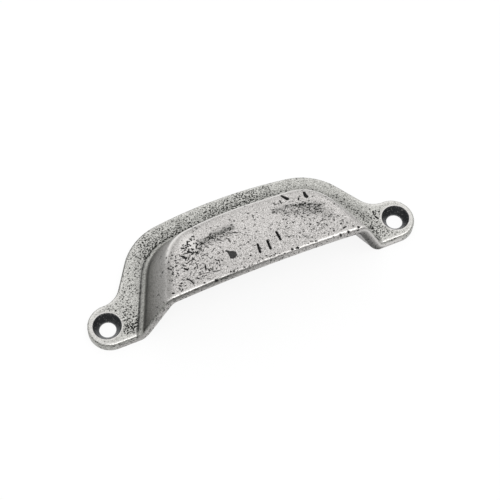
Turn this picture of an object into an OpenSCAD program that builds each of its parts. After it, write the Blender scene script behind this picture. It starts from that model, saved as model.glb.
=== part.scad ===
// Cup pull: one iron casting, an arched flange with two screw ears and a hooded cup.
// It lies on its back face. X runs along the pull, Y up the drawer front, Z out from it.
// The origin is midway between the screw holes, on the back face.

/* [Screw holes] */
// Distance between the two holes
hole_spacing = 90; // [80:1:130]
// Diameter of each hole
hole_d = 4.8; // [3.5:0.1:5.5]
// Diameter of the countersink at the flange's face
sink_d = 8; // [6.5:0.1:9]
// Straight length of hole left behind the countersink
hole_land = 0.6; // [0.3:0.1:1.2]

/* [Flange] */
// Thickness of the flange
flange_t = 3; // [2.2:0.1:4]
// Radius of the ears' round ends
ear_r = 6.4; // [5.8:0.1:8]
// Distance from each hole inwards to the centre of its ear's round end
ear_shift = 0.9; // [0:0.1:2]
// Radius of the hollow between each ear and the arch
neck_r = 6.7; // [4:0.1:9]
// Distance from each hole inwards to the arch's side, measured along the line of holes
leg_inset = 0.7; // [0:0.1:3]
// Lean of the arch's sides from upright, in degrees
leg_lean = 32.7; // [26:0.1:38]
// Radius of the arch's corners
corner_r = 18; // [12:0.5:22]
// Radius of the arch's top edge
crown_r = 148; // [100:1:300]
// Height of the arch's top edge above the line of holes
arch_rise = 26.2; // [23:0.1:30]
// Rounding of the edge at the front of the flange and of the lip
edge_r = 0.8; // [0.4:0.1:1.4]

/* [Cup] */
// Distance that the lip stands out from the back face
projection = 19.5; // [16:0.1:24]
// Thickness of the cup's wall
wall = 2.75; // [2:0.05:3.5]
// Width of flange from the arch's top edge to the back of the cup
band_w = 6.5; // [5.5:0.1:8]
// Distance from each hole inwards to the foot of the cup's side
foot_inset = 7.6; // [6.5:0.1:11]
// Lean of the foot of the cup's sides along the flange, in degrees from upright
foot_lean = 24.3; // [20:0.1:28]
// Lean of the cup's sides at the front, seen from the front, in degrees from upright
side_lean = 28; // [22:0.1:34]
// Lean of the cup's wall at the back, in degrees from upright
back_lean = 22; // [18:0.5:32]
// Radius of the cup's back along the flange
back_crown_r = 135; // [90:1:250]
// Slope of the face, in degrees from the flange
face_slope = 16; // [12:0.5:22]
// Height that the face swells above a flat slope
face_swell = 2.4; // [0.5:0.1:3]
// Radius of the lip seen from the front
lip_crown_r = 225; // [150:5:500]
// Distance over which the sides run into the back
corner_blend = 6.8; // [3:0.1:9]
// Height over which the walls run into the face, outside
shoulder_blend = 2.2; // [1.5:0.1:5]
// The same inside the cup
inner_blend = 2; // [1:0.1:3]
// Width over which the wall's foot runs out into the flange
foot_w = 1.1; // [0.5:0.1:2]
// Width over which the inside flares at the back face
mouth_w = 1.5; // [0.5:0.1:2]

/* [Hidden] */

$fn = 64;
// How far cuts run past the faces that they open
over = 1;
// Level below the back face that the inside flares down to, so that the cut is clean
mouth_drop = 0.2;
// Steps of the flange's outline, half of it: ear, neck, side, corner and top
ear_n = 10;
neck_n = 6;
leg_n = 8;
corner_n = 18;
crown_n = 8;
// Steps of the rounded edge
edge_n = 3;
// Rows from the lower to the upper edge, outside and inside
outer_rows = 32;
inner_rows = 24;
// Columns along the inside
inner_columns = 60;

hole_x = hole_spacing / 2;
front_y = -ear_r;
// Where the face begins, behind the lip's rounded edge
lip_y = front_y + edge_r;
foot_x = hole_x - foot_inset;
back_y = arch_rise - band_w;
// Sideways run of the cup's wall for each unit of height, at the front and at the back
front_run = tan(side_lean) * cos(foot_lean);
back_run = tan(back_lean);

// Centres and meeting angles of the outline's arcs
ear_c = [hole_x - ear_shift, 0];
leg_reach = (hole_x - leg_inset) * cos(leg_lean);
neck_a = leg_lean + acos((leg_reach + neck_r - ear_c.x * cos(leg_lean)) / (ear_r + neck_r));
neck_c = ear_c + (ear_r + neck_r) * along(neck_a);
crown_c = [0, arch_rise - crown_r];
corner_a = leg_lean
    + acos((leg_reach - corner_r - crown_c.y * sin(leg_lean)) / (crown_r - corner_r));
corner_c = crown_c + (crown_r - corner_r) * along(corner_a);

// Unit vector at an angle
function along(a) = [cos(a), sin(a)];

// Arc of points, without its first one
function arc(c, r, a, b, n) = [for (i = [1 : n]) c + r * along(a + (b - a) * i / n)];

// Upper edge of the flange, inset by d, from the right ear's end to the middle
function upper_half(d) =
    let (
        ear = arc(ear_c, ear_r - d, 0, neck_a, ear_n),
        neck = arc(neck_c, neck_r + d, neck_a + 180, leg_lean + 180, neck_n),
        leg_end = corner_c + (corner_r - d) * along(leg_lean),
        leg = [for (i = [1 : leg_n]) neck[neck_n - 1] + (leg_end - neck[neck_n - 1]) * i / leg_n],
        corner = arc(corner_c, corner_r - d, leg_lean, corner_a, corner_n),
        crown = arc(crown_c, crown_r - d, corner_a, 90, crown_n)
    )
    concat([ear_c + [ear_r - d, 0]], ear, neck, leg, corner, crown);

// Upper edge of the flange from end to end
function upper(d) =
    let (half = upper_half(d), last = len(half) - 1)
    concat(half, [for (i = [1 : last]) [-half[last - i].x, half[last - i].y]]);

// Lower edge under it: the ears' round ends and the straight front between them
function lower(d) = [for (p = upper(d)) [p.x, abs(p.x) > ear_c.x ? -p.y : d - ear_r]];

// Lower or higher of two slopes, run into each other over the height k
function soft_min(a, b, k) = min(a, b) - pow(max(k - abs(a - b), 0), 2) / k / 4;
function soft_max(a, b, k) = -soft_min(-a, -b, k);

// Share of the way from the front to the back of the cup
function depth_share(y) = max(0, min(1, (y - front_y) / (back_y - front_y)));

// Sideways run of the wall for each unit of height
function wall_run(y) = between(front_run, back_run, depth_share(y));

// Distance inwards from the foot of the cup's side, and from the foot of its back
function side_gap(x, y) = (foot_x - abs(x)) * cos(foot_lean) - (y - front_y) * sin(foot_lean);
function back_gap(x, y) = back_y - x * x / back_crown_r / 2 - y;

// Height of the face over a level plane through its front edge
function face_rise(y) =
    4 * face_swell * depth_share(y) * (1 - depth_share(y)) - (y - lip_y) * tan(face_slope);

// Height of the cup's skin at a place, moved inwards by d, with its shoulders blended over k
function cup_z(x, y, d, k) =
    let (
        gap = soft_min(side_gap(x, y), back_gap(x, y), corner_blend),
        run = wall_run(y),
        wall_z = flange_t + (gap - d * norm([1, run])) / run,
        lip_z = projection - x * x / lip_crown_r / 2,
        face_z = lip_z + face_rise(y) - face_rise(lip_y) - d / cos(face_slope)
    )
    soft_min(wall_z, face_z, k);

// Point on the outer skin, lowered by drop
function outer_point(p, drop) =
    let (cup = cup_z(p.x, p.y, 0, shoulder_blend))
    [p.x, p.y, soft_max(flange_t, cup, foot_w / wall_run(p.y)) - drop];

// Point on the skin inside the cup
function inner_point(x, y) =
    let (cup = cup_z(x, y, wall, inner_blend))
    [x, y, soft_max(-mouth_drop, cup, mouth_w / wall_run(y))];

// Point of a at one edge, b at the other and t between
function between(a, b, t) = a * (1 - t) + b * t;

// Triangles of a grid of points, leaving out those that have no area
function grid(rows) = [
    for (j = [0 : len(rows) - 2], i = [0 : len(rows[j]) - 2])
        let (a = rows[j][i], b = rows[j][i + 1], c = rows[j + 1][i + 1], d = rows[j + 1][i])
            for (t = [[a, b, c], [a, c, d]])
                if (t[0] != t[1] && t[1] != t[2] && t[2] != t[0]) t
];

// Closed solid of a list of triangles
module skin(triangles) {
    polyhedron(
        points = [for (t = triangles) each t],
        faces = [for (i = [0 : len(triangles) - 1]) [3 * i + 2, 3 * i + 1, 3 * i]]
    );
}

// Flange and cup, filled in down to the back face
module filled_casting() {
    // One edge is the loop's upper half, the other its lower half
    bands = [
        for (k = [0 : edge_n])
            let (a = 90 * k / edge_n, d = edge_r * (1 - cos(a)), drop = edge_r * (1 - sin(a)))
                [
                    [for (p = upper(d)) outer_point(p, drop)],
                    [for (p = lower(d)) outer_point(p, drop)]
                ]
    ];
    base = [for (p = upper(0)) [p.x, p.y, 0]];
    front_base = [for (p = lower(0)) [p.x, p.y, 0]];
    inset_upper = upper(edge_r);
    inset_lower = lower(edge_r);
    top = [
        for (j = [0 : outer_rows]) [
            for (i = [0 : len(inset_upper) - 1])
                outer_point(between(inset_upper[i], inset_lower[i], j / outer_rows), 0)
        ]
    ];
    skin(concat(
        grid([front_base, base]),
        grid(concat([base], [for (b = bands) b[0]])),
        grid(top),
        grid(concat([for (k = [edge_n : -1 : 0]) bands[k][1]], [front_base]))
    ));
}

// The hollow behind the cup, open at the back face and at the front
module hollow() {
    // Distance inwards from the cup's foot at which the flare has run out flat
    rim_gap = min([
        for (run = [front_run, back_run])
            wall * norm([1, run]) - (flange_t + mouth_drop) * run - mouth_w
    ]);
    front = front_y - over;
    reach_x = foot_x + (over * sin(foot_lean) - rim_gap) / cos(foot_lean);
    columns = [for (i = [0 : inner_columns]) reach_x * cos(180 * i / inner_columns)];
    ends = [
        for (x = columns)
            let (side = side_gap(x, front) - rim_gap, back = back_gap(x, front) - rim_gap)
                front + soft_min(side / sin(foot_lean), back, corner_blend)
    ];
    top = [
        for (j = [0 : inner_rows]) [
            for (i = [0 : inner_columns])
                inner_point(columns[i], between(ends[i], front, j / inner_rows))
        ]
    ];
    floor_z = -mouth_drop - over;
    back_floor = [for (p = top[0]) [p.x, p.y, floor_z]];
    front_floor = [for (p = top[inner_rows]) [p.x, p.y, floor_z]];
    skin(concat(
        grid([front_floor, back_floor]),
        grid(concat([back_floor], top, [front_floor]))
    ));
}

// Countersunk hole through one ear
module screw_hole() {
    sink_h = flange_t - hole_land;
    sink_run = (sink_d - hole_d) / sink_h;
    translate([0, 0, -over]) cylinder(d = hole_d, h = flange_t + 2 * over);
    translate([0, 0, hole_land])
        cylinder(d1 = hole_d, d2 = sink_d + sink_run * over, h = sink_h + over);
}

module cup_pull() {
    color("#a3a3a0")
        difference() {
            filled_casting();
            hollow();
            for (side = [-1, 1])
                translate([side * hole_x, 0, 0]) screw_hole();
        }
}

cup_pull();
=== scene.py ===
import bmesh
import bpy
import math
import numpy as np
from mathutils import Matrix, Vector, kdtree
from mathutils.geometry import delaunay_2d_cdt


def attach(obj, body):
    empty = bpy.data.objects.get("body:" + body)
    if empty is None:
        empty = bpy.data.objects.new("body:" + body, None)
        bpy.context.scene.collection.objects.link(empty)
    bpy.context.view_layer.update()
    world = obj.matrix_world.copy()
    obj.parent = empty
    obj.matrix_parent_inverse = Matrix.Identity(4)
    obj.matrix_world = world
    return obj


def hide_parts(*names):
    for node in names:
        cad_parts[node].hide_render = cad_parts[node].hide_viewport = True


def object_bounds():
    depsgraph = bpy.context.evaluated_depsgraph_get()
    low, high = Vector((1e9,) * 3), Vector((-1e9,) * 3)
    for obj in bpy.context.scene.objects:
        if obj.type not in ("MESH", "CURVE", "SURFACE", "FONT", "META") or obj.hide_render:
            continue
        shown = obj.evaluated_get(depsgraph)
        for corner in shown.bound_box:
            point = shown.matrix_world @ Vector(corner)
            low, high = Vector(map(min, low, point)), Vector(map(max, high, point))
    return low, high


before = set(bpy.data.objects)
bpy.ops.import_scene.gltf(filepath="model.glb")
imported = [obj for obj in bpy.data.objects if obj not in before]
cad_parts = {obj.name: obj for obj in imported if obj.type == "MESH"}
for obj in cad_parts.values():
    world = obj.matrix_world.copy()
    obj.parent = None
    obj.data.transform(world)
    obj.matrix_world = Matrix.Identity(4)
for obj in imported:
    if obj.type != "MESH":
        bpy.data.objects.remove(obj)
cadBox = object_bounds()
print("frame loaded")

mm = 0.001
rng = np.random.default_rng(7)

# sizes of the casting in mm and degrees, the same as the solid's
cast = dict(
    holeSpacing=90, holeDia=4.8, sinkDia=8, holeLand=0.6,
    flangeT=3, earR=6.4, earShift=0.9, neckR=6.7, legInset=0.7, legLean=32.7,
    cornerR=18, crownR=148, archRise=26.2, edgeR=0.8,
    projection=19.5, wall=2.75, bandW=6.5, footInset=7.6, footLean=24.3,
    sideLean=28, backLean=22, backCrownR=135, faceSlope=16, faceSwell=2.4, lipCrownR=225,
    cornerBlend=6.8, innerBlend=2, mouthW=1.5, mouthDrop=0.2,
    # the rest is what the real casting has beside them
    crestBlend=1.1,         # crest between walls and face, crisper than the solid's
    crestSoft=2.0,          # what is added to it at the ends, where it is worn rounder
    crestEnds=(20, 28),     # from where to where, out from the middle, that comes in
    rightRun=0.84,          # the cup sits a little to the right: the right wall's run, as a share
    leftRun=1.05,           # and the left wall's
    bevelW=0.9,             # reach of the narrow bevel at the wall's foot, on either side
    rightBevel=0.5,         # the same at the right, where it is narrower
    footRise=0.62,          # slope of that bevel
    footSoft=0.25,          # height over which the bevel runs into flange and wall
    grooveDepth=0.08,       # shallow groove along the bevel's outer edge
    lipEdgeR=0.5,           # inner edge of the lip, softened by the fettling
    rimR=0.25,              # edge of the countersinks, the same
)
# how fine the mesh is drawn: mm between points, and counts of points or steps
mesh = dict(skin=0.3, inside=0.5, back=0.8, front=0.32, edge=0.3, mark=0.09,
            edgeSteps=8, sideSteps=6, rimSteps=4, sinkSteps=8, lipSteps=4,
            holePoints=96, lipPoints=300, mouthPoints=260)


def softMin(a, b, k):
    return np.minimum(a, b) - np.maximum(k - abs(a - b), 0) ** 2 / k / 4


def softMax(a, b, k):
    return -softMin(-a, -b, k)


# 0 on one side, 1 on the other, eased between the two places, of which either may be the greater
def smooth(zeroAt, oneAt, v):
    t = np.clip((v - zeroAt) / (oneAt - zeroAt), 0, 1)
    return t * t * (3 - 2 * t)


# 1 at a place, falling off on both sides of it over a width
def hump(v, at, width):
    return np.exp(-((v - at) / width) ** 2)


holeX = cast["holeSpacing"] / 2
earX = holeX - cast["earShift"]
sinkR = cast["sinkDia"] / 2
boreR = cast["holeDia"] / 2
frontY = -cast["earR"]
lipY = frontY + cast["edgeR"]
footX = holeX - cast["footInset"]
backY = cast["archRise"] - cast["bandW"]
footLean = math.radians(cast["footLean"])
faceSlope = math.radians(cast["faceSlope"])
frontRun = math.tan(math.radians(cast["sideLean"])) * math.cos(footLean)
backRun = math.tan(math.radians(cast["backLean"]))


def depthShare(y):
    return np.clip((y - frontY) / (backY - frontY), 0, 1)


# 0 as far as the middle, 1 at the right end, which is finished a little differently
def atRight(x):
    return smooth(8, 24, x)


def wallRun(x, y):
    run = frontRun + (backRun - frontRun) * depthShare(y)
    return run * (1 + (cast["rightRun"] - 1) * atRight(x) + (cast["leftRun"] - 1) * atRight(-x))


def bevelReach(x):
    return cast["bevelW"] + (cast["rightBevel"] - cast["bevelW"]) * atRight(x)


# how far the crest is worn round, from the middle out to the ends
def crestWear(x):
    return smooth(*cast["crestEnds"], abs(x))


# plan distance inwards from the foot of the cup's wall
def footGap(x, y):
    side = (footX - abs(x)) * math.cos(footLean) - (y - frontY) * math.sin(footLean)
    back = backY - x * x / cast["backCrownR"] / 2 - y
    return softMin(side, back, cast["cornerBlend"])


def faceRise(y):
    s = depthShare(y)
    return 4 * cast["faceSwell"] * s * (1 - s) - (y - lipY) * math.tan(faceSlope)


# heights of the wall's slope and of the face, both set in by a thickness
def wallAndFace(x, y, inset):
    run = wallRun(x, y)
    wallZ = cast["flangeT"] + (footGap(x, y) - inset * np.sqrt(1 + run * run)) / run
    faceZ = cast["projection"] - x * x / cast["lipCrownR"] / 2 + faceRise(y) - faceRise(lipY)
    return wallZ, faceZ - inset / math.cos(faceSlope)


def cupZ(x, y, inset, blend):
    wallZ, faceZ = wallAndFace(x, y, inset)
    return softMin(wallZ, faceZ, blend)


# flange, narrow bevel at the foot, and cup
def outerZ(x, y):
    bevel = bevelReach(x)
    rise = (np.minimum(footGap(x, y), bevel) + bevel) * cast["footRise"]
    foot = softMax(cast["flangeT"], cast["flangeT"] + rise, cast["footSoft"])
    crest = cast["crestBlend"] + cast["crestSoft"] * crestWear(x)
    return softMax(foot, cupZ(x, y, 0, crest), cast["footSoft"])


def innerZ(x, y, wall):
    cup = cupZ(x, y, wall, cast["innerBlend"])
    return softMax(-cast["mouthDrop"], cup, cast["mouthW"] / wallRun(x, y))


def along(a):
    return np.array([math.cos(a), math.sin(a)])


# arc without its first point; as many points for every inset, so that loops match
def arc(centre, r, drawnR, a, b):
    n = max(2, round(abs(b - a) * r / mesh["edge"]))
    return [centre + drawnR * along(a + (b - a) * i / n) for i in range(1, n + 1)]


# right half of the flange's outline, set in by d, from the front's middle round to the arch's top
def halfOutline(d):
    earC = np.array([earX, 0])
    lean = math.radians(cast["legLean"])
    reach = (holeX - cast["legInset"]) * math.cos(lean)
    earToNeck = cast["earR"] + cast["neckR"]
    neckA = lean + math.acos((reach + cast["neckR"] - earC[0] * math.cos(lean)) / earToNeck)
    neckC = earC + earToNeck * along(neckA)
    crownC = np.array([0, cast["archRise"] - cast["crownR"]])
    crownToCorner = cast["crownR"] - cast["cornerR"]
    cornerA = lean + math.acos((reach - cast["cornerR"] - crownC[1] * math.sin(lean)) / crownToCorner)
    cornerC = crownC + crownToCorner * along(cornerA)
    points = [np.array([x, frontY + d]) for x in frontX]
    points += arc(earC, cast["earR"], cast["earR"] - d, -math.pi / 2, neckA)
    points += arc(neckC, cast["neckR"], cast["neckR"] + d, neckA + math.pi, lean + math.pi)
    start = points[-1]
    end = cornerC + (cast["cornerR"] - d) * along(lean)
    legLength = 18                                          # about
    legN = round(legLength / mesh["edge"])
    points += [start + (end - start) * i / legN for i in range(1, legN + 1)]
    points += arc(cornerC, cast["cornerR"], cast["cornerR"] - d, lean, cornerA)
    points += arc(crownC, cast["crownR"], cast["crownR"] - d, cornerA, math.pi / 2)
    return np.array(points)


# whole outline as a closed loop, anticlockwise from the front's middle
def outline(d):
    half = halfOutline(d)
    return np.vstack([half, half[-2:0:-1] * [-1, 1]])


# length of a path up to each of its points
def runAlong(u, v):
    return np.concatenate([[0], np.cumsum(np.hypot(np.diff(u), np.diff(v)))])


# places along the front's right half, evenly spaced along the lip's profile
def frontPlaces():
    x = np.linspace(0, earX, 4000)
    run = runAlong(x, outerZ(x, np.full_like(x, frontY)))
    return np.interp(np.linspace(0, run[-1], round(run[-1] / mesh["edge"]) + 1), run, x)


frontX = frontPlaces()

# dark marks in the face, as paths in mm: width at the path's two ends, depth, and how dark
slots = [
    [(-0.14, -0.63), (-0.5, -3.08)],
    [(2.74, -0.62), (2.57, -3.2)],
    [(6.27, 1.14), (6.28, -1.64)],
]
blot = [
    (-8.8, 1.2), (-8.1, 0.5), (-7.4, 0.2), (-6.7, -0.3), (-6.8, -1.4), (-7.9, -1.9), (-8.4, -1.6),
    (-8.5, -0.6), (-8.5, 0.3),
]
marks = [dict(path=slot, width=(0.64, 0.64), depth=0.45, dark=1) for slot in slots]
marks += [
    dict(path=blot, filled=0.18, depth=0.3, dark=0.9),      # a closed path, filled and grown a little
    dict(path=[(13.6, 13.2), (13.9, 12.3), (14.4, 11.3)], width=(0.65, 1.2), depth=0.3, dark=1),
    dict(path=[(19.9, 11.7), (19.7, 10.6), (19.7, 9.8)], width=(0.75, 1.2), depth=0.3, dark=1),
]
nicks = [  # smaller ones: path, width and how dark
    ([(12.2, 11.5), (12.1, 10.3)], 0.42, 0.95),
    ([(17.4, 10.2), (17.0, 9.4)], 0.42, 0.95),
    ([(10.2, 11.4), (10.3, 10.6), (10.7, 10.7)], 0.36, 0.8),
    ([(-20.1, 4.7), (-19.6, 3.9)], 0.58, 0.95),
    ([(-21.2, 0.8), (-20.6, 0)], 0.5, 0.95),
    ([(-18.2, 5.7), (-17.3, 4.6)], 0.55, 0.95),
    ([(-16.4, 4.3), (-15.9, 3.7)], 0.42, 0.9),
    ([(-20, 2), (-17.9, 2.8)], 0.3, 0.8),
    ([(-21.8, -2.5), (-21.1, -3.3), (-20.7, -4.5)], 0.42, 0.9),
    ([(-15.8, -0.9), (-16.1, -2.0)], 0.42, 0.95),
    ([(-18.3, -2.7), (-16.9, -2.9), (-15.4, -3.2)], 0.28, 0.6),
    ([(-14.8, -2.2), (-14.5, -3.0)], 0.3, 0.75),
    ([(-14.4, -3.4), (-13.5, -3.7), (-12.7, -3.8)], 0.32, 0.8),
    ([(-12.6, -0.2), (-12.3, -0.7), (-11.7, -1.0)], 0.32, 0.8),
    ([(-4.5, 6.0), (-3.6, 5.5)], 0.45, 0.8),
    ([(-6.6, 4.6), (-6.6, 3.3)], 0.4, 0.7),
    ([(19.1, -0.2), (20.9, -0.1)], 0.26, 0.6),
    ([(24.2, -4.5), (25.2, -4.3)], 0.42, 0.9),
    ([(39.74, 2.57), (40.12, 1.67)], 0.5, 0.9),
    ([(39.9, 4.5), (39.6, 3.2)], 0.4, 0.9),
    ([(-24.4, -3.4), (-24.0, -3.8)], 0.42, 0.8),
    ([(-26.9, -4.7), (-26.5, -4.9)], 0.42, 0.9),
]
dots = [  # round pits, in the face and in the rounded lip
    (24.2, -3.0), (21.3, -4.4), (8.8, -1.7), (16.1, -0.1), (11.9, 2.4), (-9.4, -5.7), (-10.2, -5.4),
    (-6.3, -5.6), (-18.0, -5.5), (-2.1, 1.2), (-3.4, -3.0), (15.2, -5.6),
]
lipDots = [(22.6, -6.1), (25.1, -5.95), (28.4, -5.6), (9.6, -5.7), (8.0, -5.6), (-14.8, -6.0)]  # larger
nickDepth = 0.16
for path, width, dark in nicks:
    widths = (width * 1.2, width * 0.9)
    marks.append(dict(path=path, width=widths, depth=nickDepth, dark=min(1, dark + 0.08)))
for places, wide in ((dots, 0.56), (lipDots, 0.8)):
    for px, py in places:
        path = [(px, py), (px + 0.1, py - 0.05)]
        marks.append(dict(path=path, width=(wide, wide - 0.1), depth=nickDepth, dark=1))

# specks, fine cracks and worm-like lines in the left of the face, drawn at random about five places
cracks = [  # middle, reach in x and y, count, width, length of a step, least distance apart, how dark
    dict(at=(-17.0, 8.6), reach=(2.8, 4.6), count=64,
         width=0.46, step=(0.05, 0.3), apart=0.55, dark=(0.95, 1)),
    dict(at=(-18.8, 2.6), reach=(4.2, 4.6), count=32,
         width=0.32, step=(0.3, 0.6), apart=0.85, dark=(0.75, 1)),
    dict(at=(-15.5, -1.5), reach=(6, 3.0), count=30,
         width=0.3, step=(0.3, 0.6), apart=0.9, dark=(0.7, 0.95)),
    dict(at=(-12.5, 4.0), reach=(5, 4.0), count=22,
         width=0.28, step=(0.3, 0.6), apart=0.9, dark=(0.6, 0.9)),
    dict(at=(-24.4, 2.0), reach=(1.6, 6.5), count=30,
         width=0.4, step=(0.05, 0.35), apart=0.6, dark=(0.85, 1)),
]
speckDepth = 0.1
starts = []
for crack in cracks:
    for _ in range(crack["count"]):
        place = np.array(crack["at"]) + rng.normal(0, 0.5, 2) * crack["reach"]
        heading = rng.uniform(0, 2 * math.pi)
        path = [place]
        for _ in range(rng.integers(1, 4)):
            heading += rng.normal(0, 0.7)
            path.append(path[-1] + rng.uniform(*crack["step"]) * along(heading))
        wallZ, faceZ = wallAndFace(*place, 0)
        nearCrest = place[1] > 5 and wallZ - faceZ < 5.5    # bare beside the crest at the back
        if not nearCrest and all(np.linalg.norm(place - q) > crack["apart"] for q in starts):
            starts.append(place)
            dark = rng.uniform(*crack["dark"])
            widths = (crack["width"], crack["width"])
            marks.append(dict(path=path, width=widths, depth=speckDepth, dark=dark))

# small specks along the lip, most of them in its middle
lipSpecks = dict(count=34, middle=4, spread=13, back=(0.15, 1.3), size=(0.24, 0.46), reach=29)
for _ in range(lipSpecks["count"]):
    px = rng.normal(lipSpecks["middle"], lipSpecks["spread"])
    py = rng.uniform(frontY + lipSpecks["back"][0], frontY + lipSpecks["back"][1])
    size = rng.uniform(*lipSpecks["size"])
    if abs(px) < lipSpecks["reach"]:
        place = np.array([px, py])
        path = [place, place + rng.uniform(-0.18, 0.18, 2)]
        marks.append(dict(path=path, width=(size, size * 0.8), depth=speckDepth, dark=0.95))


# distance from a path, less half its width there
def pathDistance(p, path, width=(0, 0)):
    path = np.array(path, float)
    runs = runAlong(*path.T)
    halves = np.interp(runs, [0, runs[-1]], width) / 2
    best = np.full(len(p), 1e9)
    for i in range(len(path) - 1):
        step = path[i + 1] - path[i]
        t = np.clip(((p - path[i]) @ step) / (step @ step), 0, 1)
        off = np.linalg.norm(p - path[i] - t[:, None] * step, axis=1)
        best = np.minimum(best, off - halves[i] - (halves[i + 1] - halves[i]) * t)
    return best


def inLoop(p, loop):
    x, y = p.T
    inside = np.zeros(len(p), bool)
    for a, b in zip(loop, np.roll(loop, -1, axis=0)):
        if a[1] != b[1]:
            crossX = a[0] + (y - a[1]) / (b[1] - a[1]) * (b[0] - a[0])
            inside ^= ((a[1] > y) != (b[1] > y)) & (x < crossX)
    return inside


# distance outside a mark's edge, negative within it
def markDistance(p, m):
    if "filled" in m:
        off = pathDistance(p, m["path"] + m["path"][:1])
        return np.where(inLoop(p, np.array(m["path"])), -off, off) - m["filled"]
    return pathDistance(p, m["path"], m["width"])


# how far the marks cut into the skin at each place, and how dark they are there
def marksAt(x, y):
    p = np.column_stack([x, y])
    cut = np.zeros(len(p))
    dark = np.zeros(len(p))
    for m in marks:
        cover = smooth(0.05, -0.08, markDistance(p, m))
        cut = np.maximum(cut, cover * m["depth"])
        dark = np.maximum(dark, cover * m["dark"])
    return cut, dark


# dark patina: shares on the flange, on the face and in the foot's groove, and what changes at the right
patina = dict(flange=0.38, flangeRight=-0.06, face=0.115, faceRight=0.035, groove=0.35, grooveRight=-0.7,
              band=0.1, rubbedOff=0.5)
grimePatches = [  # more or less of it in places: x, y, radius and strength
    (-24.8, 18.6, 4.4, 0.18), (-30.5, 13, 4, -0.12), (-34, 8, 4, -0.08), (-38.3, -2.6, 2.8, 0.42),
    (4, 22.5, 6, 0.14), (14, 21.5, 6, 0.12), (28, 17, 4, -0.1), (37, 5, 3, 0.1), (37.5, -1, 2.5, 0.25),
    (-20, 4, 5, 0.2), (-17, -2, 5, 0.15),
]
smudges = [  # soft dark smears on the face and flange, as paths in mm; their film number is how dark their smooth part is
    dict(path=[(-14, 6.8), (-12.6, 6.9), (-10.7, 7.4)], width=0.9, strength=0.36, paintedShadeAndFilm=0.62),
    dict(path=[(-10.7, 7.4), (-8.5, 7.6), (-6.4, 8.0), (-4.5, 7.9)], width=0.85, strength=0.4, paintedShadeAndFilm=0.75),
    dict(path=[(-13.8, 6.2), (-15.5, 4.4), (-16.6, 3.8)], width=0.5, strength=0.5),
    dict(path=[(-11, 5.8), (-8.5, 6.4), (-5.8, 6.3)], width=0.9, strength=0.42),
    dict(path=[(9.1, 8.2), (10.9, 8.3), (13.2, 8.2), (15.3, 7.6), (17.6, 7.4), (21.8, 5.3)],
         width=0.7, strength=0.46, paintedShadeAndFilm=0.55),
    dict(path=[(11, 6.6), (14.6, 5.2), (16.4, 4.1), (18.9, 3.4), (22.4, 1.6), (22.1, 0.6)],
         width=1.1, strength=0.3, paintedShadeAndFilm=0.3),
    dict(path=[(16.6, 6.4), (18.9, 5.4), (21.1, 4.1)], width=1.1, strength=0.34, paintedShadeAndFilm=0.5),
    dict(path=[(24, 18.6), (28.5, 15.4), (32, 12), (34.2, 8.6), (35.9, 5.2), (37, 3)],
         width=1.3, strength=0.07, paintedShadeAndFilm=0.42),
    dict(path=[(36.6, 4.4), (37.9, 2.4), (38.4, -0.6)], width=1.0, strength=0.02, paintedShadeAndFilm=0.08),
]


# 0 in the left half, 1 well into the right one
def rightHalf(x):
    return smooth(8, 18, x)


def grimeAt(x, y, edge):
    gap = footGap(x, y)
    wallZ, faceZ = wallAndFace(x, y, 0)
    onFlange = smooth(-0.8, -1.6, gap - 0.9 * smooth(12, 17, y))
    onFace = smooth(3, 9, wallZ - faceZ)
    right = rightHalf(x) * smooth(3, 8, y)
    grime = (patina["flange"] + patina["flangeRight"] * right) * onFlange
    grime = grime + (patina["face"] + patina["faceRight"] * smooth(5, 15, x)) * onFace
    grime = grime + patina["groove"] * hump(gap, -1, 0.3) * (1 - right)
    grime = grime * (1 + patina["grooveRight"] * right * hump(gap, -1, 1.6))
    grime = grime + patina["band"] * hump(gap, -2, 1.3) * smooth(12, 16, y)
    for px, py, r, amount in grimePatches:
        grime = grime + amount * np.exp(-((x - px) ** 2 + (y - py) ** 2) / r ** 2)
    for m in smudges:
        grime = grime + m["strength"] * hump(pathDistance(np.column_stack([x, y]), m["path"]), 0, m["width"])
    # rubbed off along the outer edge, and further in on the arch's right shoulder
    rubbed = smooth(1.4, 0, edge) * smooth(16, 8, y)
    rubbed = rubbed + 1.1 * smooth(4, 1.2, edge) * smooth(12, 22, x) * smooth(3, 9, y)
    return np.clip(grime * (1 - patina["rubbedOff"] * rubbed), 0, 1)


# smooth dark tone: painted shade on the walls, more towards their foot, and on the flange beside the cup's
# foot;
# darker on the bevel, along the grooves round the walls' foot and in the face's margin; and the smears
paintedShadeAndFilm = dict(wall=0.62, bevel=0.42, groove=0.95, outerGroove=0.95, beside=0.2, margin=0.36, smear=0.55)
innerGroove = 1.05      # where the groove between bevel and wall lies, inwards from the foot


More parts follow.
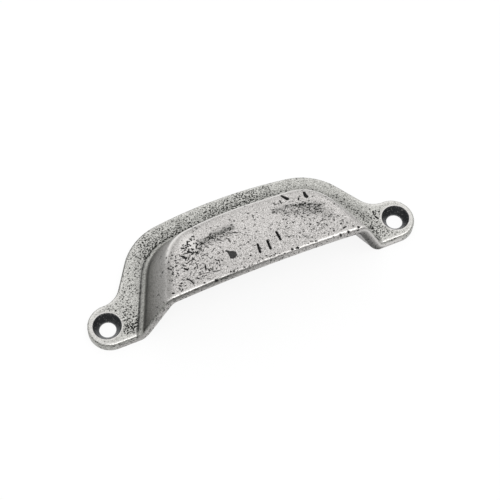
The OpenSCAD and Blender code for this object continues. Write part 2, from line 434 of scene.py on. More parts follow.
def sootAt(x, y):
    gap = footGap(x, y)
    wallZ, faceZ = wallAndFace(x, y, 0)
    below = faceZ - wallZ
    atSides = smooth(17, 12, y)
    spread = 2.4 * crestWear(x)                             # the painted shade fades in where the crest is rounder
    # painted shade: the walls darker than the face, more towards their foot, less on the right wall
    wall = paintedShadeAndFilm["wall"] * smooth(0, 1, gap) * smooth(-0.1 - spread, 0.9 + spread, below)
    wall = wall * (1 + 0.35 * smooth(4, 13, below)) * (1 - 0.65 * smooth(19, 27, x))
    bevel = paintedShadeAndFilm["bevel"] * np.exp(-((gap + 0.2) / 0.6) ** 4) * atSides
    groove = paintedShadeAndFilm["groove"] * hump(gap, innerGroove, 0.55) * atSides
    outerGroove = paintedShadeAndFilm["outerGroove"] * hump(gap + bevelReach(x), -0.05, 0.3) * (1 - 0.8 * rightHalf(x))
    # painted shade on the flange beside the cup's foot, most at the back
    beside = paintedShadeAndFilm["beside"] * (1 + 0.5 * rightHalf(x) + 0.45 * smooth(13, 17, y))
    beside = beside * smooth(-4.5, -2, gap) * smooth(0.4, -0.6, gap) * smooth(-2, 8, y)
    margin = paintedShadeAndFilm["margin"] * (1 + 0.3 * smooth(-19, -22, x))
    margin = margin * smooth(-4.5, -1, below) * smooth(0.6, 0, below)
    margin = margin * (0.4 + 0.6 * smooth(6, -16, x) + 0.3 * smooth(12, 20, x))
    smear = np.zeros(len(x))
    for m in smudges:
        off = pathDistance(np.column_stack([x, y]), m["path"])
        amount = m.get("paintedShadeAndFilm", paintedShadeAndFilm["smear"] * m["strength"])
        smear = np.maximum(smear, amount * hump(off / m["width"], 0, 1.3))
    return np.max([wall, bevel, groove, outerGroove, beside, margin, smear], axis=0)


# how far edges are rubbed bright, as wear and as painted highlight: ears, and more at their front, lip,
# right wall's edge, countersinks' rims, crest and more at its back; and, as wear, the flecked place at the
# left of the face and the flange's ends
rubAndHighlight = dict(ear=0.1, earFront=0.4, lip=0.8, wall=0.9, rim=0.35, crest=0.05, crestBack=0.95, flecks=0.5,
           ends=0.12)
# along the lip: rubbed wear and painted highlight, most at its two ends, broken in the middle
lipRubAndHighlight = [(-36, 0.3), (-28, 1), (-21, 1), (-17, 0.5), (-10, 0.25), (0, 0.15), (6, 0.3), (13, 0.7), (20, 1.1),
          (31, 1.25), (36, 0.5)]
lipKnots = np.arange(-45, 45.1, 0.9)
lipWave = rng.uniform(0.55, 1.1, len(lipKnots))


def lipShine(x):
    return np.interp(x, *np.transpose(lipRubAndHighlight)) * np.interp(x, lipKnots, lipWave)


# shares of the lip and of the flange's ends at a place
def lipAndEar(x, y):
    wallZ, faceZ = wallAndFace(x, y, 0)
    return smooth(0.3, -0.3, faceZ - wallZ), smooth(-0.6, -1.4, footGap(x, y))


def edgeRubAndHighlight(x, y):
    onLip, onEar = lipAndEar(x, y)
    return onEar * (rubAndHighlight["ear"] + rubAndHighlight["earFront"] * smooth(14, 4, y)) + rubAndHighlight["lip"] * onLip * lipShine(x)


# scattered pits, each a small uneven dent with its own ring of points
pits = dict(tries=11000, radius=(0.13, 0.32), depth=(0.04, 0.12), rarest=0.03, byGrime=0.6, wobble=0.18)


def treeOf(points):
    tree = kdtree.KDTree(len(points))
    for i, p in enumerate(points):
        tree.insert((p[0], p[1], 0), i)
    tree.balance()
    return tree


def edgeDistance(x, y, loop):
    tree = treeOf(loop)
    return np.array([tree.find((a, b, 0))[2] for a, b in zip(x, y)])


# distance from the nearer hole's countersink
def rimDistance(x, y):
    return np.minimum(np.hypot(x - holeX, y), np.hypot(x + holeX, y)) - sinkR


def scatterPits(loop):
    least, most = pits["radius"]
    x = rng.uniform(-50, 50, pits["tries"])
    y = rng.uniform(frontY + 1.5, 26, pits["tries"])
    r = least + (most - least) * rng.random(len(x)) ** 2.2
    inside = inLoop(np.column_stack([x, y]), loop)
    edge = np.where(inside, edgeDistance(x, y, loop), 0)
    gap = footGap(x, y)
    chance = pits["rarest"] + pits["byGrime"] * grimeAt(x, y, edge)
    chance *= 1 - smooth(-1.5, -1.2, gap) * smooth(4.2, 3.6, gap)       # none on the walls
    chance *= 1 - 0.25 * smooth(8, 16, x) * smooth(-0.8, -1.6, gap)     # fewer at the flange's right
    keep = (rng.random(len(x)) < chance) & (edge > r + 0.25) & (rimDistance(x, y) > 0.9)
    taken = {}
    made = []
    for i in np.nonzero(keep)[0]:
        cellX = int(x[i] // 1.0)
        cellY = int(y[i] // 1.0)
        near = [q for a in (-1, 0, 1) for b in (-1, 0, 1) for q in taken.get((cellX + a, cellY + b), [])]
        if any(math.hypot(x[i] - q[0], y[i] - q[1]) < r[i] + q[2] + 0.07 for q in near):
            continue
        taken.setdefault((cellX, cellY), []).append((x[i], y[i], r[i]))
        made.append((x[i], y[i], r[i], rng.uniform(1, 2), rng.uniform(0, math.pi)))
    return made


# two uneven rings of points and a middle for each pit, and how far other points keep from them
def pitRings(pitList):
    points = []
    margins = []
    for x, y, r, stretch, turn in pitList:
        axis = along(turn) * math.sqrt(stretch)
        cross = along(turn + math.pi / 2) / math.sqrt(stretch)
        points.append((x, y))
        margins.append(r * math.sqrt(stretch) + 0.12)
        for share, n in ((1, 8), (0.55, 6)):
            for i in range(n):
                a = 2 * math.pi * i / n
                wobble = 1 + pits["wobble"] * rng.uniform(-1, 1)
                p = np.array([x, y]) + share * wobble * r * (axis * math.cos(a) + cross * math.sin(a))
                points.append(tuple(p))
                margins.append(0.1)
    return np.array(points), np.array(margins)


# triangles that fill a region: closed loops of fixed points, with loose points inside
def fillRegion(loops, loose):
    points = []
    edges = []
    for loop in loops:
        first = len(points)
        points += [Vector((float(p[0]), float(p[1]))) for p in loop]
        edges += [(first + i, first + (i + 1) % len(loop)) for i in range(len(loop))]
    points += [Vector((float(p[0]), float(p[1]))) for p in loose]
    made = delaunay_2d_cdt(points, edges, [], 0, 1e-6, False)
    plan = np.array([(p.x, p.y) for p in made[0]])
    triangles = np.array([tuple(f) for f in made[2]])
    middles = plan[triangles].mean(1)
    keep = inLoop(middles, loops[0])
    for hole in loops[1:]:
        keep &= ~inLoop(middles, hole)
    used, again = np.unique(triangles[keep], return_inverse=True)
    return plan[used], [tuple(t) for t in again.reshape(-1, 3)]


def hexPoints(lo, hi, step):
    rows = []
    for j, y in enumerate(np.arange(lo[1], hi[1], step * math.sqrt(0.75))):
        x = np.arange(lo[0] + (j % 2) * step / 2, hi[0], step)
        rows.append(np.column_stack([x, np.full_like(x, y)]))
    return np.vstack(rows)


# loose points that keep clear of others by their own distances
def keepClear(points, others, margins):
    tree = treeOf(others)
    reach = max(margins)
    keep = np.ones(len(points), bool)
    for i, p in enumerate(points):
        for _, j, d in tree.find_range((p[0], p[1], 0), reach):
            if d < margins[j]:
                keep[i] = False
                break
    return points[keep]


# the same where one distance, half a step of the mesh, serves for all
def looseInside(lo, hi, step, others):
    return keepClear(hexPoints(lo, hi, step), others, np.full(len(others), step * 0.5))


coats = ("grime", "polish", "mark", "sink", "soot", "flange")
skins = []  # each is points, triangles or quads, and the coats at the points


def addSkin(points, faces, **values):
    made = {k: np.broadcast_to(values.get(k, 0.0), len(points)).astype(float) for k in coats}
    skins.append((np.asarray(points, float), faces, made))


def stripFaces(rows, columns, closed):
    faces = []
    for r in range(rows - 1):
        low = r * columns
        high = low + columns
        for i in range(columns if closed else columns - 1):
            j = (i + 1) % columns
            faces.append((low + i, low + j, high + j, high + i))
    return faces


def flipped(faces):
    return [f[::-1] for f in faces]


# outer skin: flange and cup as one height over the plan
wholeLo, wholeHi = (-51, -7), (51, 27)      # corners of a plan that takes in the flange
topLoop = outline(cast["edgeR"])
angles = np.linspace(0, 2 * math.pi, mesh["holePoints"], endpoint=False)
circle = np.column_stack([np.cos(angles), np.sin(angles)])
rimLoops = [circle * (sinkR + cast["rimR"]) + [s * holeX, 0] for s in (1, -1)]

pitList = scatterPits(topLoop)
print("pits", len(pitList))
ringPoints, ringMargins = pitRings(pitList)
markPoints = []
for m in marks:
    path = np.array(m["path"])
    reach = 0.5 + max(m.get("width", (0, 0)))
    fine = hexPoints(path.min(0) - reach, path.max(0) + reach, mesh["mark"])
    d = markDistance(fine, m)
    markPoints.append(fine[(d < 0.2) & (d > -0.35)])
markPoints = np.vstack(markPoints)
markPoints = markPoints[inLoop(markPoints, topLoop)]
markPoints = markPoints[edgeDistance(*markPoints.T, topLoop) > 0.12]
away = np.min([markDistance(ringPoints, m) for m in marks], axis=0) > 0.5
ringPoints = ringPoints[away]
ringMargins = ringMargins[away]
fixed = np.vstack([topLoop, *rimLoops, markPoints, ringPoints])
loopMargins = np.full(len(topLoop) + 2 * len(circle), mesh["skin"] * 0.55)
margins = np.concatenate([loopMargins, np.full(len(markPoints), 0.12), ringMargins])
base = keepClear(hexPoints(wholeLo, wholeHi, mesh["skin"]), fixed, margins)
plan, triangles = fillRegion([topLoop, *rimLoops], np.vstack([markPoints, ringPoints, base]))
x, y = plan.T
z = outerZ(x, y)
edge = edgeDistance(x, y, topLoop)
cut, mark = marksAt(x, y)
z = z - cut
tree = treeOf(plan)
for px, py, r, stretch, turn in pitList:
    depth = pits["depth"][0] + (pits["depth"][1] - pits["depth"][0]) * r / pits["radius"][1]
    axis = along(turn)
    cross = np.array([-axis[1], axis[0]])
    for co, i, _ in tree.find_range((px, py, 0), r * 1.6):
        v = np.array([co[0] - px, co[1] - py])
        t = math.hypot(v @ axis / math.sqrt(stretch), v @ cross * math.sqrt(stretch)) / r
        share = float(np.clip((1.02 - t) / 0.32, 0, 1))
        mark[i] = max(mark[i], share)
        z[i] -= depth * share
gap = footGap(x, y)
bevelEdge = gap + bevelReach(x)             # 0 along the bevel's outer edge
z = z - cast["grooveDepth"] * hump(bevelEdge, 0, 0.2) * smooth(24, 18, y) * smooth(0, 0.8, edge)

wallZ, faceZ = wallAndFace(x, y, 0)
onLip, onEar = lipAndEar(x, y)
crest = hump(wallZ - faceZ, 0.3, 0.85) * smooth(2, 4, gap)
highUp = smooth(3, 9, y)
flecks = np.exp(-((x + 16.9) / 2) ** 2 - ((y - 8.4) / 3) ** 2)
# rubbed wear, and painted highlights along the front edges, the lip, the countersinks' rims and the crest's
# back
polish = smooth(0.5, 0, edge) * edgeRubAndHighlight(x, y) + crest * (rubAndHighlight["crest"] + rubAndHighlight["crestBack"] * highUp)
polish = polish + rubAndHighlight["rim"] * smooth(0.7, 0.2, rimDistance(x, y)) + rubAndHighlight["flecks"] * flecks
polish = polish + rubAndHighlight["ends"] * onEar * (smooth(-16, -26, x) + smooth(36, 40, x))
# less painted shade on the crest, most at the back where its highlight is painted
soot = sootAt(x, y) * (1 - crest * (0.1 + 0.8 * highUp))
# broken dark lines along the bevel's outer edge and along the wall's foot
broken = 0.75 + 0.25 * np.sin(1.7 * y + 3 * np.sin(0.9 * y))
atSides = smooth(17, 12, y) * smooth(0.2, 1, edge) * (1 - atRight(x) * smooth(0, 6, y))
mark = np.maximum(mark, 0.97 * hump(bevelEdge, 0, 0.33) * broken * atSides)
mark = np.maximum(mark, 0.5 * hump(gap, innerGroove, 0.4) * atSides * (1 - atRight(x)))
addSkin(np.column_stack([x, y, z]), triangles, grime=grimeAt(x, y, edge), polish=np.clip(polish, 0, 1),
        mark=np.clip(mark, 0, 1), soot=soot, flange=smooth(3, 0, gap))
print("outer skin", len(plan))

# rounded outer edge, from the side to the top; its painted highlight and painted shade go by the angle round
# it, in degrees
edgeTone = dict(
    rubAndHighlightFrom=50, rubAndHighlightOver=22,   # where the strip of rubbed wear and painted highlight begins, and over how much it comes in
    rightLower=16,                  # the strip is broader in the lip's right half
    paintedShadeTo=62, paintedShadeOver=25,         # below this the edge has painted shade
    paintedShadeDull=22, paintedShadeBehind=18,     # which reaches higher where the lip isn't rubbed, and at the back
    # how dark the painted shade is, more on the lip and at the back
    paintedShadeAndFilm=0.42, paintedShadeLip=0.38, paintedShadeBack=0.28,
)
rings = []
for k in range(mesh["edgeSteps"] + 1):
    a = math.pi / 2 * k / mesh["edgeSteps"]
    loop = outline(cast["edgeR"] * (1 - math.cos(a)))
    rings.append(np.column_stack([loop, outerZ(*loop.T) - cast["edgeR"] * (1 - math.sin(a))]))
n = len(rings[0])
edgePoints = np.vstack(rings)
x, y, _ = edgePoints.T
cut, mark = marksAt(x, y)
edgePoints[:, 2] -= cut
rings = list(edgePoints.reshape(len(rings), n, 3))
ringAngle = np.repeat(90 * np.arange(len(rings)) / mesh["edgeSteps"], n)
onLip, onEar = lipAndEar(x, y)
onWall = (1 - onLip) * (1 - onEar) * (x > 0)
rightLip = onLip * smooth(-18, 14, x)
front = smooth(14, 4, y)
behind = smooth(5, 10, y) * (1 - 0.8 * smooth(-28, -18, x))
start = edgeTone["rubAndHighlightFrom"] - edgeTone["rightLower"] * rightLip
# painted highlight on the edge's upper part, together with rubbed wear
shine = smooth(start, start + edgeTone["rubAndHighlightOver"], ringAngle) * (edgeRubAndHighlight(x, y) + rubAndHighlight["wall"] * onWall)
# painted shade on the edge's lower part, less at the lip's right and at the right ear's front
dull = edgeTone["paintedShadeDull"] * onLip * (1 - np.clip(lipShine(x), 0, 1))
lit = edgeTone["paintedShadeTo"] + dull + edgeTone["paintedShadeBehind"] * behind
shade = edgeTone["paintedShadeAndFilm"] + edgeTone["paintedShadeLip"] * onLip + edgeTone["paintedShadeBack"] * behind
shade = smooth(lit, lit - edgeTone["paintedShadeOver"], ringAngle) * shade * (1 - 0.8 * rightLip)
shade = shade * (1 - 0.7 * smooth(30, 38, x) * front)
soot = np.maximum(shade, sootAt(x, y) * (1 - onLip) * (1 - 0.8 * onWall))
addSkin(edgePoints, stripFaces(len(rings), n, True), polish=shine, grime=0.3 - 0.1 * front, mark=mark,
        soot=soot, flange=1 - onLip)

# the flange's side below it, all round but for the front
side = []
for k in range(mesh["sideSteps"] + 1):
    row = rings[0].copy()
    row[:, 2] *= k / mesh["sideSteps"]
    side.append(row)
frontN = len(frontX)
isFront = np.zeros(n, bool)
isFront[:frontN] = True
isFront[n - frontN + 1:] = True
sideFaces = [f for f in stripFaces(len(side), n, True) if not (isFront[f[0] % n] and isFront[f[1] % n])]
# painted shade on the flange's side
addSkin(np.vstack(side), sideFaces, grime=0.3, soot=0.25, flange=1)

# countersinks and bores, blackened inside: radius and height from the softened rim down
profile = []
for k in range(mesh["rimSteps"] + 1):
    a = math.pi / 4 * k / mesh["rimSteps"]
    height = cast["flangeT"] - cast["rimR"] * 0.8 * (1 - math.cos(a))
    profile.append((sinkR + cast["rimR"] * (1 - math.sin(a) * math.sqrt(2)), height))
rimEnd, rimZ = profile[-1]
for k in range(1, mesh["sinkSteps"] + 1):
    t = k / mesh["sinkSteps"]
    profile.append((rimEnd + (boreR - rimEnd) * t, rimZ + (cast["holeLand"] - rimZ) * t))
profile += [(boreR, cast["holeLand"] * (1 - t / 3)) for t in (1, 2, 3)]
blackened = np.repeat(smooth(1, mesh["rimSteps"], np.arange(len(profile))), len(circle))
for s in (1, -1):
    rows = [np.column_stack([circle * r + [s * holeX, 0], np.full(len(circle), h)]) for r, h in profile]
    # the softened rim is lighter: rubbed wear and a painted highlight
    addSkin(np.vstack(rows), flipped(stripFaces(len(rows), len(circle), True)),
            sink=blackened, polish=0.6 * (1 - blackened))


# greatest reach at which a test still holds, found by halving
def lastReach(holds, lo, hi):
    for _ in range(50):
        mid = (lo + hi) / 2
        held = holds(mid)
        lo = np.where(held, mid, lo)
        hi = np.where(held, hi, mid)
    return lo


# how far the hollow reaches along the back face, to the right or left
def mouthReach(y, wall, s):
    reach = lastReach(lambda r: innerZ(s * r, np.full(1, y), wall) > 0, np.full(1, 20.0), np.full(1, 50.0))
    return s * reach[0]


# the hollow's profile from left to right, with evenly spaced points
def innerProfile(y, wall, count):
    x = np.linspace(mouthReach(y, wall, -1), mouthReach(y, wall, 1), 6001)
    z = np.maximum(innerZ(x, np.full_like(x, y), wall), 0)
    run = runAlong(x, z)
    t = np.linspace(0, run[-1], count)
    return np.column_stack([np.interp(t, run, x), np.full(count, y), np.interp(t, run, z)])


# inner edge of the lip, with painted shade at its right end
lipRows = []
for k in range(mesh["lipSteps"] + 1):
    a = math.pi / 2 * k / mesh["lipSteps"]
    back = frontY + cast["lipEdgeR"] * (1 - math.sin(a))
    wall = cast["wall"] - cast["lipEdgeR"] * (1 - math.cos(a))
    lipRows.append(innerProfile(back, wall, mesh["lipPoints"]))
lipSkin = np.vstack(lipRows)
lipDark = smooth(24, 28, lipSkin[:, 0])
addSkin(lipSkin, flipped(stripFaces(len(lipRows), mesh["lipPoints"], False)),
        grime=0.3, soot=0.9 * lipDark, mark=0.5 * lipDark)

# hollow behind the cup
reachY = frontY + cast["lipEdgeR"]
theta = np.linspace(0, math.pi, mesh["mouthPoints"])
mouthR = lastReach(lambda r: innerZ(r * np.cos(theta), reachY + r * np.sin(theta), cast["wall"]) > 0,
                   np.zeros(len(theta)), np.full(len(theta), 60.0))
mouth = np.column_stack([mouthR * np.cos(theta), reachY + mouthR * np.sin(theta)])
mouth[0] = lipRows[0][-1, :2]
mouth[-1] = lipRows[0][0, :2]
insideLoop = np.vstack([mouth, lipRows[0][1:-1, :2]])
loose = looseInside((-42, -6.4), (42, 24), mesh["inside"], insideLoop)
plan, triangles = fillRegion([insideLoop], loose)
x, y = plan.T
z = innerZ(x, y, cast["wall"])
z[edgeDistance(x, y, mouth) < 1e-4] = 0
addSkin(np.column_stack([x, y, z]), flipped(triangles), grime=0.26, sink=0.15, soot=0.5)

# front end face of the lip and walls
lipFront = lipRows[-1][:, [0, 2]]
ends = [(1, lipFront[-1, 0]), (-1, lipFront[0, 0])]
baseX = [np.linspace(end, s * earX, round((earX - abs(end)) / mesh["edge"]) + 1) for s, end in ends]
sideZ = [row[frontN - 1, 2] for row in side]
topRight = rings[0][:frontN, [0, 2]]                # from the middle to the right ear
topLeft = rings[0][n - frontN + 1:, [0, 2]]         # from the left ear to beside the middle
frontLoop = np.vstack([
    [(v, 0) for v in baseX[0]],
    [(earX, v) for v in sideZ[1:-1]],
    topRight[::-1],
    topLeft[::-1],
    [(-earX, v) for v in sideZ[-2:0:-1]],
    [(v, 0) for v in baseX[1][::-1]],
    lipFront[1:-1],
])
loose = looseInside((-45, 0), (45, 20), mesh["front"], frontLoop)
plan, triangles = fillRegion([frontLoop], loose)
x, z = plan.T
frontProfile = np.vstack([topLeft, topRight])
belowTop = np.interp(x, frontProfile[:, 0], frontProfile[:, 1]) - z
overHollow = edgeDistance(x, z, lipFront)
rightEnd = smooth(26, 31, x)
# painted shade under the top edge, fading towards the right; at the right end, painted shade near the
# hollow's edge
soot = (0.3 + 0.5 * smooth(1, 0, belowTop)) * (1 - 0.75 * smooth(-18, 14, x) * (1 - rightEnd))
soot = np.maximum(soot * (1 - 0.5 * rightEnd), 0.9 * rightEnd * smooth(2.4, 0.2, overHollow))
# at the right end a painted highlight below the top edge, and the dark mark near the hollow is painted shade
addSkin(np.column_stack([x, np.full(len(x), frontY), z]), triangles, grime=0.35 * (1 - 0.5 * rightEnd),
        soot=soot, polish=0.8 * rightEnd * smooth(1.9, 0.6, belowTop),
        mark=0.4 * rightEnd * smooth(1.6, 0, overHollow))

# back face, ground flat
outerBack = outline(0)[frontN - 1:n - frontN + 2]
rightBase, leftBase = [np.column_stack([v[:-1], np.full(len(v) - 1, frontY)]) for v in baseX]
rightCorner, leftCorner = [np.array([row[i, :2] for row in lipRows[1:-1]]) for i in (-1, 0)]
backLoop = np.vstack([rightBase, outerBack, leftBase[::-1], leftCorner[::-1], mouth[::-1], rightCorner])
boreLoops = [circle * boreR + [s * holeX, 0] for s in (1, -1)]
loose = looseInside(wholeLo, wholeHi, mesh["back"], np.vstack([backLoop, *boreLoops]))
plan, triangles = fillRegion([backLoop, *boreLoops], loose)
addSkin(np.column_stack([plan, np.zeros(len(plan))]), flipped(triangles), grime=0.2, soot=0.25)
print("skins", [len(s[0]) for s in skins])

# weld the skins into one casting
points = np.vstack([s[0] for s in skins])
faces = []
first = 0
for s in skins:
    faces += [tuple(first + i for i in f) for f in s[1]]
    first += len(s[0])
points = np.clip(points, np.array(cadBox[0]) / mm, np.array(cadBox[1]) / mm)
data = bpy.data.meshes.new("castIronPull")
data.from_pydata((points * mm).tolist(), [], faces)
for k in coats:
    coat = np.concatenate([s[2][k] for s in skins])
    data.attributes.new(k, "FLOAT", "POINT").data.foreach_set("value", coat.astype(np.float32))
casting3d = bpy.data.objects.new("castIronPull", data)
bpy.context.scene.collection.objects.link(casting3d)
bm = bmesh.new()
bm.from_mesh(data)
bmesh.ops.remove_doubles(bm, verts=bm.verts, dist=0.004 * mm)
bmesh.ops.dissolve_degenerate(bm, edges=bm.edges, dist=0.0005 * mm)
bmesh.ops.recalc_face_normals(bm, faces=bm.faces)
print("welded", len(bm.verts), "open edges", sum(len(e.link_faces) != 2 for e in bm.edges))
bm.to_mesh(data)
bm.free()
data.shade_smooth()
data.set_sharp_from_angle(angle=math.radians(50))
print("triangles", sum(len(p.vertices) - 2 for p in data.polygons))
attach(casting3d, "root")
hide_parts("cup_pull")


def hexLinear(code):
    v = [int(code[i:i + 2], 16) / 255 for i in (1, 3, 5)]
    return [x / 12.92 if x <= 0.04045 else ((x + 0.055) / 1.055) ** 2.4 for x in v] + [1]


def perMetre(size):
    return 1 / (size * mm)


# adds a node, with its settings, its plain inputs and its links
def addNode(tree, kind, settings=None, inputs=None, links=None):
    node = tree.nodes.new(kind)
    for k, v in (settings or {}).items():
        setattr(node, k, v)
    for k, v in (inputs or {}).items():
        node.inputs[k].default_value = v
    for k, v in (links or {}).items():
        tree.links.new(v, node.inputs[k])
    return node


# cast iron, sand cast, burnished and blackened: satin grey highs, and dark patina left in every low place
iron = dict(
    plain="#918f8c", bright="#dedbd9",      # the grain's two tones
    olive="#fafdfa",                        # cast over the flange
    # the rubbed tone serves rubbed wear and painted highlights; the tone after it, painted shade and soot
    rubbed="#e8e6e3", soot="#5a5a57", patina="#292a28", deep="#2a2a2a", black="#4c4e50",
    grit=0.5, grain=0.22, drift=3.5,        # sand grit, a finer grain and slow drifts, in mm
    gritDepth=0.04, driftDepth=0.03,        # how far they stand out, in mm
    smoothest=0.26, roughest=0.7,
)


def castIron():
    mat = bpy.data.materials.new("burnishedCastIron")
    mat.use_nodes = True
    tree = mat.node_tree
    shader = tree.nodes["Principled BSDF"]
    where = addNode(tree, "ShaderNodeTexCoord").outputs["Object"]
    attr = {k: addNode(tree, "ShaderNodeAttribute", dict(attribute_name=k)).outputs["Fac"] for k in coats}
    noise = {}
    for name, detail in (("grit", 2), ("grain", 1), ("drift", 2)):
        plain = {"Scale": perMetre(iron[name]), "Detail": detail}
        noise[name] = addNode(tree, "ShaderNodeTexNoise", {}, plain, {"Vector": where}).outputs["Fac"]

    # patina fills the low places: the grit's height, raised by the grime and the drift, lowered where rubbed
    # and where highlights are painted
    low = noise["grit"]
    for source, share in ((attr["grime"], 0.3), (noise["drift"], 0.2), (attr["polish"], -0.1)):
        low = addNode(tree, "ShaderNodeMath", dict(operation="MULTIPLY_ADD"), {1: share},
                      {0: source, 2: low}).outputs[0]
    speck = addNode(tree, "ShaderNodeMapRange", dict(interpolation_type="SMOOTHSTEP"),
                    {"From Min": 0.75, "From Max": 0.86}, {"Value": low}).outputs[0]
    # the painted shade and film are a little uneven, and a few bright flecks show in the blackened
    # countersinks
    uneven = addNode(tree, "ShaderNodeMapRange", {},
                     {"From Min": 0.3, "From Max": 0.7, "To Min": 0.75, "To Max": 1.2},
                     {"Value": noise["grit"]})
    coat = addNode(tree, "ShaderNodeMath", dict(operation="MULTIPLY", use_clamp=True), {},
                   {0: attr["soot"], 1: uneven.outputs[0]}).outputs[0]
    fleck = addNode(tree, "ShaderNodeMapRange", {},
                    {"From Min": 0.6, "From Max": 0.66, "To Min": 1, "To Max": 0.45},
                    {"Value": noise["grit"]})
    blacked = addNode(tree, "ShaderNodeMath", dict(operation="MULTIPLY"), {},
                      {0: attr["sink"], 1: fleck.outputs[0]}).outputs[0]

    # bare metal first, then what lies on it: rubbed wear with painted highlights, painted shade and soot,
    # patina, marks, black
    fine = addNode(tree, "ShaderNodeMapRange", {}, {"From Min": 0.38, "From Max": 0.62},
                   {"Value": noise["grain"]})
    tone = addNode(tree, "ShaderNodeMix", dict(data_type="RGBA"),
                   {6: hexLinear(iron["plain"]), 7: hexLinear(iron["bright"])}, {0: fine.outputs[0]})
    tone = addNode(tree, "ShaderNodeMix", dict(data_type="RGBA", blend_type="MULTIPLY"),
                   {7: hexLinear(iron["olive"])}, {0: attr["flange"], 6: tone.outputs[2]})
    layers = (("rubbed", attr["polish"]), ("soot", coat), ("patina", speck), ("deep", attr["mark"]),
              ("black", blacked))
    for colour, amount in layers:
        tone = addNode(tree, "ShaderNodeMix", dict(data_type="RGBA"), {7: hexLinear(iron[colour])},
                       {0: amount, 6: tone.outputs[2]})
    tree.links.new(tone.outputs[2], shader.inputs["Base Color"])

    # dull where dark, smoother where rubbed and where highlights are painted
    dark = addNode(tree, "ShaderNodeMath", dict(operation="MAXIMUM"), {}, {0: speck, 1: attr["mark"]})
    dull = addNode(tree, "ShaderNodeMath", dict(operation="MULTIPLY_ADD"), {1: -0.4},
                   {0: attr["polish"], 2: dark.outputs[0]})
    rough = addNode(tree, "ShaderNodeMapRange", {},
                    {"From Min": -0.4, "To Min": iron["smoothest"], "To Max": iron["roughest"]},
                    {"Value": dull.outputs[0]})
    tree.links.new(rough.outputs[0], shader.inputs["Roughness"])
    shader.inputs["Metallic"].default_value = 1
    wave = addNode(tree, "ShaderNodeBump", {}, {"Strength": 1, "Distance": iron["driftDepth"] * mm},
                   {"Height": noise["drift"]})
    height = addNode(tree, "ShaderNodeMath", dict(operation="MULTIPLY_ADD"), {1: -1.0},
                     {0: speck, 2: noise["grain"]})
    bump = addNode(tree, "ShaderNodeBump", {}, {"Strength": 0.4, "Distance": iron["gritDepth"] * mm},
                   {"Height": height.outputs[0], "Normal": wave.outputs[0]})
    tree.links.new(bump.outputs[0], shader.inputs["Normal"])
    return mat


data.materials.append(castIron())
print("material made")

# white paper sweep under the pull, which keeps its shadow; sizes in mm
studio = dict(floor="#606060", size=3000, drop=0.02, white=0.88, low=0.35, high=1.0, aim=(0, 8, 5),
              lightFrom=(0, 0.34, 0.94))
half = studio["size"] * mm
floorZ = -studio["drop"] * mm
floorData = bpy.data.meshes.new("floor")
corners = [(-half, -half, floorZ), (half, -half, floorZ), (half, half, floorZ), (-half, half, floorZ)]
floorData.from_pydata(corners, [], [(0, 1, 2, 3)])
floor = bpy.data.objects.new("floor", floorData)
bpy.context.scene.collection.objects.link(floor)
paper = bpy.data.materials.new("whitePaperSweep")
paper.use_nodes = True
tree = paper.node_tree
shader = tree.nodes["Principled BSDF"]
shader.inputs["Base Color"].default_value = hexLinear(studio["floor"])
shader.inputs["Roughness"].default_value = 0.9
shader.inputs["Specular IOR Level"].default_value = 0
rays = addNode(tree, "ShaderNodeLightPath")
seen = rays.outputs["Is Camera Ray"]
for ray in ("Is Glossy Ray", "Is Transmission Ray"):
    seen = addNode(tree, "ShaderNodeMath", dict(operation="MAXIMUM"), {},
                   {0: seen, 1: rays.outputs[ray]}).outputs[0]
glow = addNode(tree, "ShaderNodeMath", dict(operation="MULTIPLY"), {1: studio["white"]}, {0: seen})
shader.inputs["Emission Color"].default_value = (1, 1, 1, 1)
tree.links.new(glow.outputs[0], shader.inputs["Emission Strength"])
floorData.materials.append(paper)

world = bpy.data.worlds.new("studio")
bpy.context.scene.world = world
world.use_nodes = True
tree = world.node_tree
sky = tree.nodes["Background"]
sky.inputs["Color"].default_value = (1, 1, 1, 1)
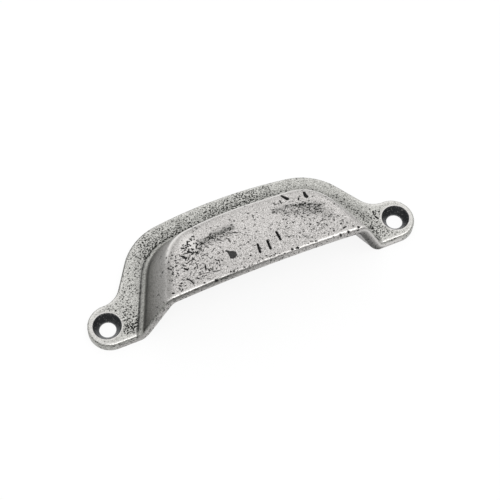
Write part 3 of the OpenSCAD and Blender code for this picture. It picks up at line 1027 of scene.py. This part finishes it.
# soft light from above and behind, dimmer low down in front; the camera sees plain white
where = addNode(tree, "ShaderNodeTexCoord").outputs["Generated"]
facing = addNode(tree, "ShaderNodeVectorMath", dict(operation="DOT_PRODUCT"), {1: studio["lightFrom"]},
                 {0: where})
fade = addNode(tree, "ShaderNodeMapRange", dict(interpolation_type="SMOOTHSTEP"),
               {"From Min": 0.05, "From Max": 0.35, "To Min": studio["low"], "To Max": studio["high"]},
               {"Value": facing.outputs["Value"]})
rays = addNode(tree, "ShaderNodeLightPath")
level = addNode(tree, "ShaderNodeMath", dict(operation="MAXIMUM"), {},
                {0: fade.outputs[0], 1: rays.outputs["Is Camera Ray"]})
tree.links.new(level.outputs[0], sky.inputs["Strength"])

lamps = [  # place in mm, size in mm, power in watts
    dict(name="topBox", at=(75, -180, 550), size=(650, 170), power=0.8),
    dict(name="backBox", at=(150, 620, 420), size=(900, 600), power=0.5),
]
for lamp in lamps:
    light = bpy.data.lights.new(lamp["name"], "AREA")
    light.shape = "RECTANGLE"
    light.size = lamp["size"][0] * mm
    light.size_y = lamp["size"][1] * mm
    light.energy = lamp["power"]
    holder = bpy.data.objects.new(lamp["name"], light)
    holder.location = Vector(lamp["at"]) * mm
    towards = Vector(studio["aim"]) * mm - holder.location
    holder.rotation_euler = towards.to_track_quat("-Z", "Y").to_euler()
    bpy.context.scene.collection.objects.link(holder)
print("studio set")

# the photograph's view: angles in degrees, lengths in mm, focal length in pixels of a 500 pixel frame
shot = dict(turn=26.8786, height=61.3808, roll=3.567, distance=353.594, across=-1.8625, up=7.1011,
            focal=1228.894, frame=500, sensor=36)
turn = math.radians(shot["turn"])
height = math.radians(shot["height"])
roll = math.radians(shot["roll"])
toCamera = Vector((-math.sin(turn) * math.cos(height), -math.cos(turn) * math.cos(height), math.sin(height)))
rightDir = Vector((math.cos(turn), -math.sin(turn), 0))
upDir = toCamera.cross(rightDir)
place = (toCamera * shot["distance"] + rightDir * shot["across"] + upDir * shot["up"]) * mm
camX = rightDir * math.cos(roll) + upDir * math.sin(roll)
camY = upDir * math.cos(roll) - rightDir * math.sin(roll)
camData = bpy.data.cameras.new("camera")
camData.sensor_width = shot["sensor"]
camData.lens = shot["focal"] / shot["frame"] * shot["sensor"]
camData.clip_start = 0.01
camData.clip_end = 20
cam = bpy.data.objects.new("camera", camData)
bpy.context.scene.collection.objects.link(cam)
cam.matrix_world = Matrix((
    (camX.x, camY.x, toCamera.x, place.x),
    (camX.y, camY.y, toCamera.y, place.y),
    (camX.z, camY.z, toCamera.z, place.z),
    (0, 0, 0, 1)))
bpy.context.scene.camera = cam
bpy.context.scene.view_settings.view_transform = "Standard"
